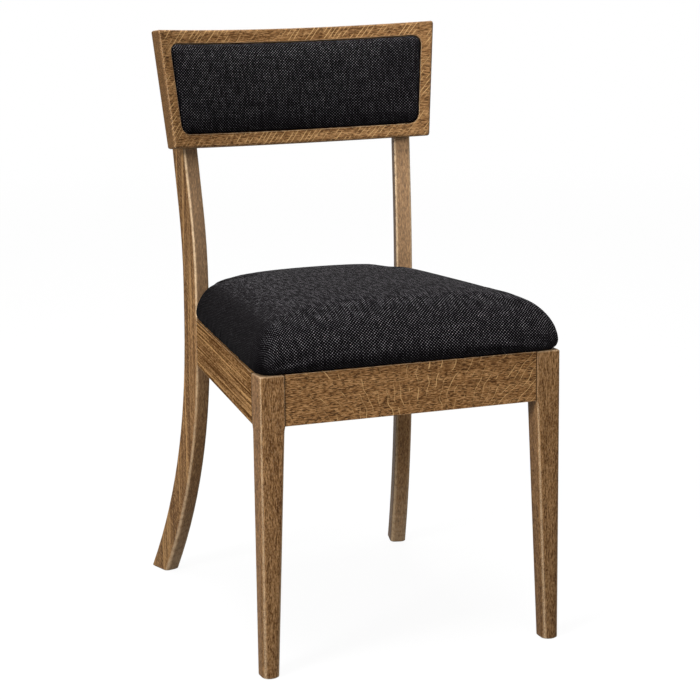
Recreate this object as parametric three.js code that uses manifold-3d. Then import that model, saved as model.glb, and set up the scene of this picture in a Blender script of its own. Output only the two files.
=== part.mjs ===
// Klismos dining chair: an oak frame with sabre-curved rear legs, a bent crest panel with a sunk back
// pad, and an upholstered seat that lies over the whole frame.
// Millimetres, +Z up. The front is towards -Y, and the left side, as seen from the front, towards -X.
// The origin is on the floor, under the middle of the chair. Sizes below are measured from the front
// legs' front faces, and the finished group is moved back to its middle at the end.

import * as THREE from 'three';
import { mergeVertices } from 'three/addons/utils/BufferGeometryUtils.js';
import Module from 'manifold-3d';

const wasm = await Module();
wasm.setup();

// Seat frame
const frameTop = 430;             // floor to the top of the rails and front legs
const frameHalfWidth = 226.5;     // centre to the outer face of a front leg
const frameDepth = 432;           // front face of the front legs to the front of the rear legs
const rearHalfWidth = 180.5;      // centre to the outer front edge of a rear leg
const railHeight = 72;
const railThickness = 22;
const frontRailSetback = 2;       // front rail behind the faces of the front legs
const rearRailSetback = 12;       // rear rail behind the front of the rear legs
const fitGap = 0.3;               // clearance wherever two pieces meet
const overrun = 12;               // how far a cut runs past the face that it opens
const weldTolerance = 1e-4;       // vertices closer than this are one

// Front legs
const frontLegWidth = 36;
const frontLegDepth = 35;
const frontFootWidth = 25;
const frontFootDepth = 32.5;
const frontFootSpread = 1.5;      // outer face further out at the floor
const frontFootEdgeRadius = 10;   // the foot is nearly round

// Every leg
const legEdgeRadius = 4;          // the rounded long edges, which grow rounder below the rails
const jointEdgeRadius = 1;        // the same edges where a rail lies flush with the leg
const edgeBlend = 7;              // height over which one radius runs into the other
const footEase = 1.5;             // the small round at the floor
const legTopEase = 1.5;
const legArcSteps = 4;

// Rear legs, in a plane that is turned outwards about the vertical
const rearSplayDegrees = 15.4;
const rearLegWidth = 25.5;
const rearFootWidth = 25.3;
const rearFootDepth = 45.5;
const rearFootEdgeRadius = 6.5;
const rearSeatDepth = 38;
const rearTopDepth = 35;
const waistDrop = 5;              // where the leg stands upright, below the top of the frame
const footSweepShare = 0.258;     // how far the foot lies behind the waist, as a share of the waist's height
const sweepPower = 2.28;          // how late the curve sets in on the way down
const bendRise = 50;              // where the upper part begins to lean back, above the frame
const bendLength = 124;           // height over which the lean sets in
const lowerLegSteps = 13;
const bendSteps = 4;
const rearLegTopDrop = 22;        // top of a rear leg below the top of the crest panel, on its slope

// Crest panel, bent to a circular arc and tilted back
const crestBottom = 690;          // floor to its lower edge, at the middle
const crestHeight = 179;          // along its slope
const crestThickness = 20;
const crestRadius = 520;          // of the front face
const crestTiltDegrees = 8.6;
const crestHalfBottom = 214;      // half its length along the arc, at the lower edge
const crestHalfTop = 231;
const crestEdgeRadius = 3.2;
const crestLetIn = 1.5;           // how far the rear legs are let into its back at its lower edge
const crestSteps = 24;
const crestEdgeSteps = 2;

// Back pad and the sunk field that holds it
const fieldMarginUp = 20.3;       // wood left above and below the field
const fieldMarginEnd = 17;        // wood left at each end
const fieldCorner = 14;
const fieldDepth = 9;
const padClearance = 1.2;         // between the cover and the wall of the field
const padBoardThickness = 3;
const padFoamEdge = 0.5;          // foam left at the edge of the board, where the cover is pulled tight
const padRoll = 10;               // width of the rolled edge of the pad
const padRise = 7;                // height of the rolled edge above the pad's edge
const padCrown = 5;               // further rise of the pad's middle
const padHemWidth = 12;
const padStepsAlong = 14;
const padCornerSteps = 3;
const padUpShares = [-1, -0.965, -0.88, -0.7, -0.35, 0, 0.35, 0.7, 0.88, 0.965, 1];

// Seat cushion
const fabricThickness = 1.2;
const seatBoardThickness = 12;
const seatBoardInset = 5.2;       // board inside the outer line of the frame
const seatOverhang = 4.4;         // widest line of the cushion outside the frame
const seatDrawIn = 2.6;           // foot of the cushion inside the frame's outer line
const seatWidestHeight = 15;      // widest line above the frame
const seatRoll = 33.5;            // width of the rolled edge
const seatRiseFront = 47.8;       // height of the rolled edge above the widest line
const seatRiseRear = 37.4;
const seatRollPower = 1.7;        // 2 would be a quarter of a circle
const seatCrown = 28.8;           // further rise of the middle
const seatCrownForward = 27;      // top of the crown in front of the middle
const crownPowers = { across: 2.5, along: 4.2 };
const seatFrontCorner = 21;       // corner radii of the cushion in plan
const seatRearCorner = 10;
const notchCorner = 4;
const notchGap = 1.2;             // between the cushion and the rear legs
const seatPointSpacing = 62;
const cornerArcSteps = 3;
const seatRollShares = [0.04, 0.13, 0.3, 0.58, 1];
const seatCrownShares = [0.12, 0.34, 0.64];
const seatHemWidth = 20;
const dustCoverThickness = 0.8;

// Corner blocks
const blockReach = 78;            // length along each rail
const blockHeight = 30;
const blockDrop = 2;              // top of the blocks below the top of the rails

// Dowels
const dowelRadius = 4;
const dowelLength = 34;
const dowelInLeg = 15;
const crestDowelLength = 27;
const crestDowelInPanel = 8;
const dowelSides = 10;
const acrossDowelShares = [0.14, 0.62];   // heights of the front and rear rails' dowels
const sideDowelShares = [0.38, 0.86];     // heights of the side rails' dowels, clear of the others
const crestDowelShares = [0.22, 0.66];    // heights up the crest panel

// Screws: a countersunk head at the start of a pointed shank
const screwSides = 8;
const blockScrew = { length: 44, shankRadius: 2.2, headRadius: 4.2, headHeight: 2.6, tipLength: 5 };
const seatScrew = { length: 42, shankRadius: 2.4, headRadius: 4.6, headHeight: 2.8, tipLength: 5 };
const padScrew = { length: 15, shankRadius: 1.8, headRadius: 3.6, headHeight: 2.2, tipLength: 3 };
const blockScrewGrip = 30;        // wood of the block under the head
const blockScrewShare = 0.56;     // place along the block's reach
const blockScrewHeightShares = { across: 0.3, side: 0.68 };
const seatScrewShare = 0.32;      // place inwards from the leg, along each rail
const padScrewShares = { along: 0.55, up: [0.2, 0.8] };

// Materials
function finish(color, roughness, metalness = 0) {
  return new THREE.MeshStandardMaterial({ color, roughness, metalness });
}
const oak = () => finish(0x8b6844, 0.5);
const beech = () => finish(0xc9a878, 0.65);
const plywood = () => finish(0xb9986c, 0.75);
const foam = () => finish(0xe8dfb8, 0.95);
const charcoalFabric = () => finish(0x2a2a2d, 0.95);
const blackCloth = () => finish(0x18181a, 0.95);
const steel = () => finish(0xa8a9ad, 0.35, 1);

const chair = new THREE.Group();

function add(name, geometry, material, placement) {
  const mesh = new THREE.Mesh(geometry, material);
  mesh.name = name;
  if (placement) mesh.applyMatrix4(placement);
  chair.add(mesh);
}

// Geometry of any closed body

function volumeOf(positions, index) {
  const a = new THREE.Vector3();
  const b = new THREE.Vector3();
  const c = new THREE.Vector3();
  let total = 0;
  for (let i = 0; i < index.length; i += 3) {
    a.fromArray(positions, 3 * index[i]);
    b.fromArray(positions, 3 * index[i + 1]);
    c.fromArray(positions, 3 * index[i + 2]);
    total += a.dot(b.cross(c));
  }
  return total / 6;
}

// Turns every triangle round if the body's faces point inwards
function body(positions, index) {
  const turned = (_, i) => index[i % 3 === 0 ? i : i % 3 === 1 ? i + 1 : i - 1];
  const triangles = volumeOf(positions, index) > 0 ? index : index.map(turned);
  const geometry = new THREE.BufferGeometry();
  geometry.setAttribute('position', new THREE.Float32BufferAttribute(positions, 3));
  geometry.setIndex(triangles);
  geometry.computeVertexNormals();
  return geometry;
}

// A closed body through rings of points, with each end closed by a fan about its middle
function loft(rings) {
  const count = rings[0].length;
  const points = rings.flat();
  const index = [];
  for (let ring = 0; ring + 1 < rings.length; ring++) {
    for (let i = 0; i < count; i++) {
      const a = ring * count + i;
      const b = ring * count + (i + 1) % count;
      index.push(a, b, b + count, a, b + count, a + count);
    }
  }
  [0, rings.length - 1].forEach((ring, end) => {
    const middle = new THREE.Vector3();
    rings[ring].forEach((point) => middle.addScaledVector(point, 1 / count));
    const hub = points.push(middle) - 1;
    for (let i = 0; i < count; i++) {
      const a = ring * count + i;
      const b = ring * count + (i + 1) % count;
      index.push(hub, end ? a : b, end ? b : a);
    }
  });
  return body(points.flatMap((point) => point.toArray()), index);
}

function mirrored(geometry) {
  const copy = geometry.clone();
  const index = Array.from(copy.index.array);
  const positions = Array.from(copy.attributes.position.array);
  for (let i = 0; i < positions.length; i += 3) positions[i] = -positions[i];
  return body(positions, index);
}

// Extrudes an outline of plan points upwards
function prism(outline, bottom, height) {
  const shape = new THREE.Shape(outline.map(([x, y]) => new THREE.Vector2(x, y)));
  const geometry = new THREE.ExtrudeGeometry(shape, { depth: height, bevelEnabled: false });
  geometry.translate(0, 0, bottom);
  return welded(geometry);
}

function welded(geometry) {
  const bare = geometry.clone();
  bare.deleteAttribute('normal');
  bare.deleteAttribute('uv');
  const merged = mergeVertices(bare, weldTolerance);
  const index = [];
  for (let i = 0; i < merged.index.count; i += 3) {
    const triangle = [0, 1, 2].map((corner) => merged.index.getX(i + corner));
    if (new Set(triangle).size === 3) index.push(...triangle);
  }
  return body(Array.from(merged.attributes.position.array), index);
}

function solidOf(geometry) {
  const clean = welded(geometry);
  return new wasm.Manifold(new wasm.Mesh({
    numProp: 3,
    vertProperties: new Float32Array(clean.attributes.position.array),
    triVerts: new Uint32Array(clean.index.array),
  }));
}

function cut(geometry, cutters) {
  let solid = solidOf(geometry);
  cutters.forEach((cutter) => {
    solid = solid.subtract(solidOf(cutter));
  });
  const mesh = solid.getMesh();
  return body(Array.from(mesh.vertProperties), Array.from(mesh.triVerts));
}

// A rectangle with its own radius at each corner, from its low corner round by way of its high x
function roundedRectangle(lowX, lowY, highX, highY, radii, steps) {
  const quarter = Math.PI / 2;
  const corners = [[lowX, lowY, 1, 1], [highX, lowY, -1, 1], [highX, highY, -1, -1], [lowX, highY, 1, -1]];
  return corners.flatMap(([x, y, inX, inY], corner) => {
    const radius = radii[corner];
    return Array.from({ length: steps + 1 }, (_, step) => {
      const angle = Math.PI + quarter * (corner + step / steps);
      return [x + radius * (inX + Math.cos(angle)), y + radius * (inY + Math.sin(angle))];
    });
  });
}

// An outline with rounded corners: each corner is a point and its radius
function roundedOutline(corners, steps) {
  return corners.flatMap(({ at, radius }, i) => {
    const before = corners[(i + corners.length - 1) % corners.length].at;
    const after = corners[(i + 1) % corners.length].at;
    const back = before.clone().sub(at).normalize();
    const on = after.clone().sub(at).normalize();
    const half = Math.acos(back.dot(on)) / 2;
    const centre = at.clone().addScaledVector(back.clone().add(on).normalize(), radius / Math.sin(half));
    const start = at.clone().addScaledVector(back, radius / Math.tan(half)).sub(centre);
    const turn = Math.sign(back.cross(on)) * (2 * half - Math.PI);
    return Array.from({ length: steps + 1 }, (_, step) => {
      const spoke = start.clone().rotateAround(new THREE.Vector2(), turn * step / steps);
      return spoke.add(centre);
    });
  });
}

// Adds points so that no two neighbours are further apart than the spacing
function subdivided(outline, spacing) {
  return outline.flatMap((point, i) => {
    const next = outline[(i + 1) % outline.length];
    const parts = Math.max(1, Math.ceil(point.distanceTo(next) / spacing));
    return Array.from({ length: parts }, (_, part) => point.clone().lerp(next, part / parts));
  });
}

// Where two plan lines meet, each given by a point and a direction
function crossing(p, d, q, e) {
  const along = q.clone().sub(p).cross(e) / d.cross(e);
  return p.clone().addScaledVector(d, along);
}

// Places a shape that starts at its origin and runs along +Z
function aimed(start, direction) {
  const ahead = direction.clone().normalize();
  const turn = new THREE.Quaternion().setFromUnitVectors(new THREE.Vector3(0, 0, 1), ahead);
  return new THREE.Matrix4().makeRotationFromQuaternion(turn).setPosition(start);
}

// Places of the seat frame, all for the right side
const railBottom = frameTop - railHeight;
const railFace = frontRailSetback + railThickness;
const rearRailFront = frameDepth + rearRailSetback;
const rearRailBack = rearRailFront + railThickness;
const plan = (x, y) => new THREE.Vector2(x, y);
const sideRailStart = plan(frameHalfWidth, frontLegDepth);
const sideRailEnd = plan(rearHalfWidth, frameDepth);
const sideRailRun = sideRailEnd.clone().sub(sideRailStart).normalize();
const sideRailInward = plan(-sideRailRun.y, sideRailRun.x);
const splay = THREE.MathUtils.degToRad(rearSplayDegrees);
const legInward = plan(-Math.cos(splay), Math.sin(splay));
const legBackward = plan(Math.sin(splay), Math.cos(splay));
const rearLegInnerEdge = sideRailEnd.clone().addScaledVector(legInward, rearLegWidth);

// Crest panel: a point along its arc, up its slope and behind its front face
const crestTilt = THREE.MathUtils.degToRad(crestTiltDegrees);
const waistHeight = frameTop - waistDrop;
const bendStart = frameTop + bendRise;
const bendEnd = bendStart + bendLength;
const footSweep = waistHeight * footSweepShare;
const leanSlope = Math.tan(crestTilt) / Math.cos(splay);
const straightFrom = (bendStart + bendEnd) / 2;

function rearLegLean(height) {
  if (height < waistHeight) return footSweep * ((waistHeight - height) / waistHeight) ** sweepPower;
  if (height < bendStart) return 0;
  if (height < bendEnd) return leanSlope * (height - bendStart) ** 2 / (2 * (bendEnd - bendStart));
  return leanSlope * (height - straightFrom);
}

// The panel stands where its back meets the rear legs' outer front edges at its lower edge
const crestLegLean = rearLegLean(crestBottom);
const crestLegEdge = sideRailEnd.clone().addScaledVector(legBackward, crestLegLean);
const crestBackRadius = crestRadius + crestThickness;
const crestLegAngle = Math.asin(crestLegEdge.x / crestBackRadius);
const crestLegForward = crestRadius - crestBackRadius * Math.cos(crestLegAngle);
const crestFront = crestLegEdge.y + crestLetIn + crestLegForward * Math.cos(crestTilt);

function crestPoint(along, up, behind) {
  const angle = along / crestRadius;
  const reach = crestRadius + behind;
  const forward = crestRadius - reach * Math.cos(angle);
  return new THREE.Vector3(
    reach * Math.sin(angle),
    crestFront + up * Math.sin(crestTilt) - forward * Math.cos(crestTilt),
    crestBottom + up * Math.cos(crestTilt) + forward * Math.sin(crestTilt),
  );
}

// The direction straight back out of the panel at a place along its arc
function crestBackward(along) {
  return crestPoint(along, 0, crestThickness).sub(crestPoint(along, 0, 0)).normalize();
}

function crestHalf(up) {
  return crestHalfBottom + (crestHalfTop - crestHalfBottom) * up / crestHeight;
}

// A body bent to the panel's arc. Its ends are rounded in front view, and section gives the closed outline
// of the cut across it as places up and behind, from the corner's cut there and the distance from its end.
function bentBody({ half, corner, steps, cornerSteps, section }) {
  const ends = Array.from({ length: cornerSteps }, (_, step) => {
    return corner * Math.sin(Math.PI / 2 * (cornerSteps - step) / cornerSteps);
  });
  const middle = Array.from({ length: steps + 1 }, (_, step) => [2 * step / steps - 1, 0]);
  const stations = [
    ...ends.map((past) => [-1, -past]), ...middle, ...ends.map((past) => [1, past]).reverse(),
  ];
  const rings = stations.map(([acrossShare, past]) => {
    const cornerCut = corner - Math.sqrt(Math.max(0, corner ** 2 - past ** 2));
    const fromEnd = corner - Math.abs(past) + (1 - Math.abs(acrossShare)) * (half(crestHeight / 2) - corner);
    return section(cornerCut, fromEnd, acrossShare).map(([up, behind]) => {
      return crestPoint(acrossShare * (half(up) - corner) + past, up, behind);
    });
  });
  return loft(rings);
}

// A bent plate of even thickness
function bentPlate({ half, corner, low, high, front, back }) {
  return bentBody({
    half,
    corner,
    steps: crestSteps,
    cornerSteps: padCornerSteps,
    section: (cornerCut) => [
      [low + cornerCut, front], [high - cornerCut, front], [high - cornerCut, back], [low + cornerCut, back],
    ],
  });
}

// Dowels

function dowelShape(radius, length) {
  const geometry = new THREE.CylinderGeometry(radius, radius, length, dowelSides);
  geometry.rotateX(Math.PI / 2);
  geometry.translate(0, 0, length / 2);
  return geometry;
}

const rightDowels = [];

// start is the dowel's end in the first piece, and direction runs towards the second
function planDowel(name, start, direction, length, hosts) {
  const placement = aimed(start, direction);
  const hole = dowelShape(dowelRadius + fitGap, length + 2 * fitGap);
  hole.translate(0, 0, -fitGap);
  hole.applyMatrix4(placement);
  rightDowels.push({ name, length, placement, hole, hosts });
}

function planRailDowels(name, joint, direction, heightShares, hosts) {
  heightShares.forEach((share, i) => {
    const start = joint.clone().addScaledVector(direction, dowelInLeg - dowelLength);
    const height = railBottom + railHeight * share;
    planDowel(`${name}_dowel_${i ? 'upper' : 'lower'}`, new THREE.Vector3(start.x, start.y, height),
      new THREE.Vector3(direction.x, direction.y, 0), dowelLength, hosts);
  });
}

const halfRail = railThickness / 2;
const frontJoint = plan(frameHalfWidth - frontLegWidth, frontRailSetback + halfRail);
const sideRailMiddle = sideRailStart.clone().addScaledVector(sideRailInward, halfRail);
const sideFrontJoint = crossing(sideRailMiddle, sideRailRun, plan(0, frontLegDepth), plan(1, 0));
const sideRearJoint = crossing(sideRailMiddle, sideRailRun, sideRailEnd, legInward);
const rearJoint = crossing(rearLegInnerEdge, legBackward, plan(0, rearRailFront + halfRail), plan(1, 0));
planRailDowels('front_rail', frontJoint, plan(1, 0), acrossDowelShares, ['front_rail', 'front_leg']);
planRailDowels('side_rail_front', sideFrontJoint, sideRailRun.clone().negate(), sideDowelShares,
  ['side_rail', 'front_leg']);
planRailDowels('side_rail_rear', sideRearJoint, sideRailRun, sideDowelShares, ['side_rail', 'rear_leg']);
planRailDowels('rear_rail', rearJoint, plan(1, 0), acrossDowelShares, ['rear_rail', 'rear_leg']);

// The crest panel's dowels run square to it, from its thickness back into the rear leg
crestDowelShares.forEach((share, i) => {
  const up = crestHeight * share;
  const lean = rearLegLean(crestBottom + up * Math.cos(crestTilt));
  const edge = sideRailEnd.clone().addScaledVector(legBackward, lean);
  const legMiddle = edge.addScaledVector(legInward, rearLegWidth / 2);
  const along = crestRadius * Math.asin(legMiddle.x / crestBackRadius);
  const start = crestPoint(along, up, crestThickness - crestDowelInPanel);
  planDowel(`crest_dowel_${i ? 'upper' : 'lower'}`, start, crestBackward(along), crestDowelLength,
    ['crest_panel', 'rear_leg']);
});

// Screws

// spread widens it into the hole that it needs, and lead opens that hole above the head
function screwShape({ length, shankRadius, headRadius, headHeight, tipLength }, spread = 0, lead = 0) {
  const headOutline = [[0, -lead], [headRadius + spread, -lead]];
  if (lead) headOutline.push([headRadius + spread, 0]);
  const profile = [
    ...headOutline, [shankRadius + spread, headHeight],
    [shankRadius + spread, length - tipLength + spread], [0, length + spread],
  ];
  const geometry = new THREE.LatheGeometry(profile.map(([r, h]) => new THREE.Vector2(r, h)), screwSides);
  geometry.rotateX(Math.PI / 2);
  return welded(geometry);
}

const rightScrews = [];

function planScrew(name, size, head, direction, hosts) {
  const placement = aimed(head, direction);
  const hole = screwShape(size, fitGap, blockReach);
  hole.applyMatrix4(placement);
  rightScrews.push({ name, size, placement, hole, hosts });
}

const blockBottom = frameTop - blockDrop - blockHeight;
const legCorner = plan(frameHalfWidth - frontLegWidth, frontLegDepth);

function planBlockScrews(end, { corner, rail, towardsRail, acrossRail, inner, sideAt }) {
  const acrossHeight = blockBottom + blockHeight * blockScrewHeightShares.across;
  const sideHeight = blockBottom + blockHeight * blockScrewHeightShares.side;
  const acrossX = corner.x - blockReach * blockScrewShare;
  planScrew(`block_screw_${end}_across`, blockScrew,
    new THREE.Vector3(acrossX, rail - towardsRail * blockScrewGrip, acrossHeight),
    new THREE.Vector3(0, towardsRail, 0), [`corner_block_${end}`, acrossRail]);
  const head = sideAt.clone().addScaledVector(sideRailInward, railThickness + blockScrewGrip);
  planScrew(`block_screw_${end}_side`, blockScrew, new THREE.Vector3(head.x, head.y, sideHeight),
    new THREE.Vector3(-sideRailInward.x, -sideRailInward.y, 0), [`corner_block_${end}`, 'side_rail']);
  planScrew(`seat_screw_${end}`, seatScrew, new THREE.Vector3(inner.x, inner.y, blockBottom),
    new THREE.Vector3(0, 0, 1), [`corner_block_${end}`, 'seat_board', 'seat_dust_cover']);
}

function sideRailPointAt(y) {
  return crossing(sideRailStart, sideRailRun, plan(0, y), plan(1, 0));
}

planBlockScrews('front', {
  corner: legCorner,
  rail: railFace,
  towardsRail: -1,
  acrossRail: 'front_rail',
  inner: plan(legCorner.x - blockReach * seatScrewShare, legCorner.y + blockReach * seatScrewShare),
  sideAt: sideRailPointAt(frontLegDepth + blockReach * blockScrewShare),
});
planBlockScrews('rear', {
  corner: rearLegInnerEdge,
  rail: rearRailFront,
  towardsRail: 1,
  acrossRail: 'rear_rail',
  inner: plan(rearLegInnerEdge.x - blockReach * seatScrewShare,
    rearLegInnerEdge.y - blockReach * seatScrewShare),
  sideAt: sideRailPointAt(frameDepth - blockReach * blockScrewShare),
});
padScrewShares.up.forEach((share, i) => {
  const along = crestHalf(crestHeight / 2) * padScrewShares.along;
  const head = crestPoint(along, crestHeight * share, crestThickness);
  planScrew(`pad_screw_${i ? 'upper' : 'lower'}`, padScrew, head, crestBackward(along).negate(),
    ['crest_panel', 'back_pad_board']);
});

// Holes for a piece: both sides' holes where it spans the chair, else the right side's
function holesFor(host, spans) {
  const fixings = [...rightDowels, ...rightScrews].filter(({ hosts }) => hosts.includes(host));
  const holes = fixings.map(({ hole }) => hole);
  return spans ? holes.flatMap((hole) => [hole, mirrored(hole)]) : holes;
}

function addPair(name, geometry, material) {
  add(`${name}_left`, mirrored(geometry), material());
  add(`${name}_right`, geometry, material());
}

// Front legs

// A value that changes evenly from the foot up to the rails
function tapered(atFoot, atRail, height) {
  return atFoot + (atRail - atFoot) * Math.min(1, height / railBottom);
}

function frontLeg() {
  const ring = (height, inset, railZone) => {
    const outside = tapered(frameHalfWidth + frontFootSpread, frameHalfWidth, height);
    const inside = outside - tapered(frontFootWidth, frontLegWidth, height);
    const back = tapered(frontFootDepth, frontLegDepth, height);
    const round = tapered(frontFootEdgeRadius, legEdgeRadius, height);
    const flush = railZone ? jointEdgeRadius : round;
    return roundedRectangle(inside + inset, inset, outside - inset, back - inset,
      [flush, round, flush, flush], legArcSteps).map(([x, y]) => new THREE.Vector3(x, y, height));
  };
  return loft([
    ring(0, footEase, false),
    ring(footEase, 0, false),
    ring(railBottom - edgeBlend, 0, false),
    ring(railBottom, 0, true),
    ring(frameTop - legTopEase, 0, true),
    ring(frameTop, legTopEase, true),
  ]);
}

addPair('front_leg', cut(frontLeg(), holesFor('front_leg')), oak);

// Rear legs: one sabre-curved piece each, from the floor to behind the crest panel

const rearLegTop = crestBottom + (crestHeight - rearLegTopDrop) * Math.cos(crestTilt);

function rearLegDepthAt(height) {
  return height < frameTop
    ? rearFootDepth + (rearSeatDepth - rearFootDepth) * height / frameTop
    : rearSeatDepth + (rearTopDepth - rearSeatDepth) * (height - frameTop) / (rearLegTop - frameTop);
}

function rearLeg() {
  const ring = (height, inset, railZone) => {
    const lean = rearLegLean(height);
    const width = tapered(rearFootWidth, rearLegWidth, height);
    const round = tapered(rearFootEdgeRadius, legEdgeRadius, height);
    const flush = railZone ? jointEdgeRadius : round;
    const back = lean + rearLegDepthAt(height);
    const section = roundedRectangle(inset, lean + inset, width - inset, back - inset,
      [flush, flush, round, round], legArcSteps);
    return section.map(([inward, backward]) => {
      const at = sideRailEnd.clone().addScaledVector(legInward, inward);
      at.addScaledVector(legBackward, backward);
      return new THREE.Vector3(at.x, at.y, height);
    });
  };
  const lowerTop = railBottom - edgeBlend;
  const lower = Array.from({ length: lowerLegSteps }, (_, step) => {
    return footEase + (lowerTop - footEase) * (step + 1) / lowerLegSteps;
  });
  const bend = Array.from({ length: bendSteps + 1 }, (_, step) => {
    return bendStart + (bendEnd - bendStart) * step / bendSteps;
  });
  return loft([
    ring(0, footEase, false),
    ring(footEase, 0, false),
    ...lower.map((height) => ring(height, 0, false)),
    ring(railBottom, 0, true),
    ring((railBottom + waistHeight) / 2, 0, true),
    ring(frameTop, 0, true),
    ring(frameTop + edgeBlend, 0, false),
    ...bend.map((height) => ring(height, 0, false)),
    ring(rearLegTop - legTopEase, 0, false),
    ring(rearLegTop, legTopEase, false),
  ]);
}

// The room that the crest panel takes out of the rear legs
const crestRoom = bentPlate({
  half: () => crestHalfTop + overrun,
  corner: crestEdgeRadius,
  low: -fitGap,
  high: crestHeight + overrun,
  front: -overrun,
  back: crestThickness + fitGap,
});
const rearLegBlank = cut(rearLeg(), [crestRoom]);

addPair('rear_leg', cut(rearLegBlank, holesFor('rear_leg')), oak);

// Rails

// The rear leg grown forwards or inwards by the fit, to cut a rail's end to its shape
function legMoved(direction) {
  const moved = rearLegBlank.clone();
  moved.translate(direction.x * fitGap, direction.y * fitGap, 0);
  return moved;
}

const frontRailHalf = frameHalfWidth - frontLegWidth - fitGap;
const frontRail = prism([
  [-frontRailHalf, frontRailSetback], [frontRailHalf, frontRailSetback],
  [frontRailHalf, railFace], [-frontRailHalf, railFace],
], railBottom, railHeight);
add('front_rail', cut(frontRail, holesFor('front_rail', true)), oak());

function sideRail() {
  const frontEnd = plan(0, frontLegDepth + fitGap);
  const inside = sideRailStart.clone().addScaledVector(sideRailInward, railThickness);
  const outerEnd = sideRailEnd.clone().addScaledVector(sideRailRun, rearLegWidth / 2);
  const blank = prism([
    crossing(sideRailStart, sideRailRun, frontEnd, plan(1, 0)), outerEnd,
    crossing(inside, sideRailRun, sideRailEnd, legInward),
    crossing(inside, sideRailRun, frontEnd, plan(1, 0)),
  ].map((point) => point.toArray()), railBottom, railHeight);
  return cut(blank, [legMoved(legBackward.clone().negate()), ...holesFor('side_rail')]);
}
addPair('side_rail', sideRail(), oak);

function rearRail() {
  const half = rearLegInnerEdge.x + rearLegWidth / 2;
  const blank = prism([
    [-half, rearRailFront], [half, rearRailFront], [half, rearRailBack], [-half, rearRailBack],
  ], railBottom, railHeight);
  const leg = legMoved(legInward);
  return cut(blank, [leg, mirrored(leg), ...holesFor('rear_rail', true)]);
}
add('rear_rail', rearRail(), oak());

// Corner blocks, each between two rails and clear of the leg

const blockSideLine = sideRailStart.clone().addScaledVector(sideRailInward, railThickness + fitGap);
const levelWith = (y) => crossing(blockSideLine, sideRailRun, plan(0, y), plan(1, 0));

function cornerBlock(outline, end) {
  const blank = prism(outline.map((point) => point.toArray()), blockBottom, blockHeight);
  return cut(blank, holesFor(`corner_block_${end}`));
}

const frontBlockOutline = [
  plan(legCorner.x - fitGap, railFace + fitGap),
  plan(legCorner.x - fitGap, legCorner.y + fitGap),
  levelWith(legCorner.y + fitGap),
  levelWith(legCorner.y + blockReach),
  plan(legCorner.x - blockReach, railFace + fitGap),
];
const rearLegFrontLine = sideRailEnd.clone().addScaledVector(legBackward, -fitGap);
const rearLegInnerLine = rearLegInnerEdge.clone().addScaledVector(legInward, fitGap);
const rearBlockOutline = [
  levelWith(frameDepth - blockReach),
  crossing(blockSideLine, sideRailRun, rearLegFrontLine, legInward),
  crossing(rearLegFrontLine, legInward, rearLegInnerLine, legBackward),
  crossing(rearLegInnerLine, legBackward, plan(0, rearRailFront - fitGap), plan(1, 0)),
  plan(rearLegInnerEdge.x - blockReach, rearRailFront - fitGap),
];
addPair('corner_block_front', cornerBlock(frontBlockOutline, 'front'), beech);
addPair('corner_block_rear', cornerBlock(rearBlockOutline, 'rear'), beech);

// Crest panel

const fieldHalf = (up) => crestHalf(up) - fieldMarginEnd;
const field = bentPlate({
  half: fieldHalf,
  corner: fieldCorner,
  low: fieldMarginUp,
  high: crestHeight - fieldMarginUp,
  front: -overrun,
  back: fieldDepth,
});

function crestPanel() {
  const blank = bentBody({
    half: crestHalf,
    corner: crestEdgeRadius,
    steps: crestSteps,
    cornerSteps: crestEdgeSteps,
    section: (ease) => {
      const radius = Math.max(crestEdgeRadius - ease, fitGap);
      return roundedRectangle(ease, ease, crestHeight - ease, crestThickness - ease,
        [radius, radius, radius, radius], crestEdgeSteps);
    },
  });
  return cut(blank, [field, ...holesFor('crest_panel', true)]);
}
add('crest_panel', crestPanel(), oak());

// Back pad: a thin board, its foam, and a cover that turns in behind the board

// Places behind the panel's front face
const padFoot = fieldDepth - fitGap;
const padLining = fabricThickness + fitGap;
const padBoardBack = padFoot - padLining;
const padBoardFront = padBoardBack - padBoardThickness;
const padFoamBack = padBoardFront - fitGap;
const padEdgeFront = padFoamBack - padLining - padFoamEdge;

// The pad's body, inset evenly from the outer face of its cover
function padBody(inset, back) {
  const margin = fieldMarginUp + padClearance + inset;
  const half = (up) => fieldHalf(up) - padClearance - inset;
  const low = margin;
  const high = crestHeight - margin;
  const roll = (distance) => Math.sqrt(1 - (1 - Math.min(1, distance / padRoll)) ** 2);
  return bentBody({
    half,
    corner: fieldCorner - padClearance - inset,
    steps: padStepsAlong,
    cornerSteps: padCornerSteps,
    section: (cornerCut, fromEnd, acrossShare) => {
      const reach = (high - low) / 2 - cornerCut;
      const across = (share) => (low + high) / 2 + reach * share;
      const front = padUpShares.map((share) => {
        const edge = roll(fromEnd) * roll(reach * (1 - Math.abs(share)));
        const crown = padCrown * (1 - acrossShare ** 2) * (1 - share ** 2);
        return [across(share), padEdgeFront + inset - edge * (padRise + crown)];
      });
      return [...front, [across(1), back], [across(-1), back]];
    },
  });
}

const padBoard = bentPlate({
  half: (up) => fieldHalf(up) - padClearance - padLining,
  corner: fieldCorner - padClearance - padLining,
  low: fieldMarginUp + padClearance + padLining,
  high: crestHeight - fieldMarginUp - padClearance - padLining,
  front: padBoardFront,
  back: padBoardBack,
});
const padMouth = bentPlate({
  half: (up) => fieldHalf(up) - padHemWidth,
  corner: fieldCorner,
  low: fieldMarginUp + padHemWidth,
  high: crestHeight - fieldMarginUp - padHemWidth,
  front: padBoardFront,
  back: fieldDepth + overrun,
});
add('back_pad_board', cut(padBoard, holesFor('back_pad_board', true)), plywood());
add('back_pad_foam', padBody(padLining, padFoamBack), foam());
add('back_pad_cover', cut(padBody(0, padFoot), [
  padBody(fabricThickness, padFoot - fabricThickness),
  padMouth,
]), charcoalFabric());

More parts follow.
